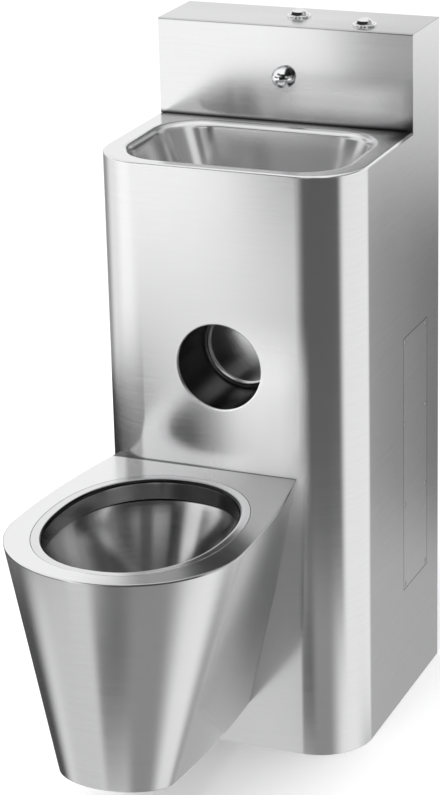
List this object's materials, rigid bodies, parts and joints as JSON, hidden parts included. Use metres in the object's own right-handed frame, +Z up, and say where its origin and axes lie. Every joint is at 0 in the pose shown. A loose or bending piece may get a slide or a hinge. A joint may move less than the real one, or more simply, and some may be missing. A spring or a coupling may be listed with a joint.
{
  "type": "toilet and basin combination unit",
  "caption": "Stainless steel cabinet with a pressed basin, fixed spout, push buttons and paper recess on top of a floor unit, and a toilet pan standing out in front.",
  "frame": {"origin": "on the floor under the middle of the unit's outline", "axes": "+Z up, +Y to the wall behind the unit, +X to the right as seen from the front"},
  "size_m": [0.4, 0.82, 1.0465],
  "materials": {
    "satin_steel": "satin, brushed",
    "basin_steel": "satin, polished edge",
    "pan_steel": "satin, brushed",
    "frame_steel": "mill finish",
    "chrome": "polished",
    "fixings": "plain stainless",
    "pipe_steel": "plain stainless tube",
    "brass": "cast and turned",
    "valve_steel": "polished",
    "spring_steel": "drawn wire",
    "rubber": "matt"
  },
  "bodies": {
    "unit": {"cabinet_shell": "satin_steel", "upstand_cover": "satin_steel", "basin_bowl": "basin_steel", "paper_recess": "satin_steel", "access_panel": "satin_steel", "access_frame": "frame_steel", "access_screws": "fixings", "frame_upright_left": "frame_steel", "frame_upright_right": "frame_steel", "frame_rail_top": "frame_steel", "frame_rail_middle": "frame_steel", "frame_rail_bottom": "frame_steel", "frame_bolts": "fixings", "floor_angle_left": "frame_steel", "floor_angle_right": "frame_steel", "spout_nozzle": "chrome", "spout_washer": "rubber", "spout_nut": "brass", "basin_feed_pipe": "pipe_steel", "basin_spring": "spring_steel", "basin_collar": "chrome", "basin_valve_washer": "rubber", "basin_valve_body": "brass", "flush_spring": "spring_steel", "flush_collar": "chrome", "flush_valve_washer": "rubber", "flush_valve_body": "brass", "basin_riser_pipe": "pipe_steel", "flush_riser_pipe": "pipe_steel", "basin_stopcock_body": "brass", "flush_stopcock_body": "brass", "flush_pipe": "pipe_steel", "flush_grommet": "rubber", "waste_strainer": "chrome", "waste_gasket": "rubber", "waste_body": "chrome", "waste_nut": "chrome", "basin_trap": "chrome", "basin_trap_nut": "chrome", "pan_skirt": "pan_steel", "pan_rim_plate": "pan_steel", "pan_rim_ring": "pan_steel", "pan_bowl": "pan_steel", "pan_trap": "pipe_steel", "pan_trap_elbow": "pipe_steel", "pan_trap_tail": "pipe_steel", "pan_back_plate": "pan_steel", "pan_backing_plate": "frame_steel", "pan_studs": "fixings", "pan_nuts": "fixings", "soil_gasket": "rubber", "soil_pipe": "pipe_steel"},
    "basin_push": {"basin_button": "chrome", "basin_plunger": "brass"},
    "flush_push": {"flush_button": "chrome", "flush_plunger": "brass"},
    "basin_cock": {"basin_stopcock_ball": "valve_steel", "basin_stopcock_spindle": "valve_steel"},
    "flush_cock": {"flush_stopcock_ball": "valve_steel", "flush_stopcock_spindle": "valve_steel"}
  },
  "joints": [
    {"name": "basin_button_push", "type": "slide", "parent": "unit", "child": "basin_push", "axis": [0, 0, -1], "range_m": [0, 0.005], "stiffness_N_per_m": 900, "springref_m": -0.004, "deforming": ["basin_spring"]},
    {"name": "flush_button_push", "type": "slide", "parent": "unit", "child": "flush_push", "axis": [0, 0, -1], "range_m": [0, 0.005], "stiffness_N_per_m": 900, "springref_m": -0.004, "deforming": ["flush_spring"]},
    {"name": "basin_stopcock_turn", "type": "hinge", "parent": "unit", "child": "basin_cock", "pos_m": [0.06, 0.3865, 0.52], "axis": [1, 0, 0], "range_deg": [0, 90]},
    {"name": "flush_stopcock_turn", "type": "hinge", "parent": "unit", "child": "flush_cock", "pos_m": [0.158, 0.3865, 0.47], "axis": [1, 0, 0], "range_deg": [0, 90]}
  ]
}
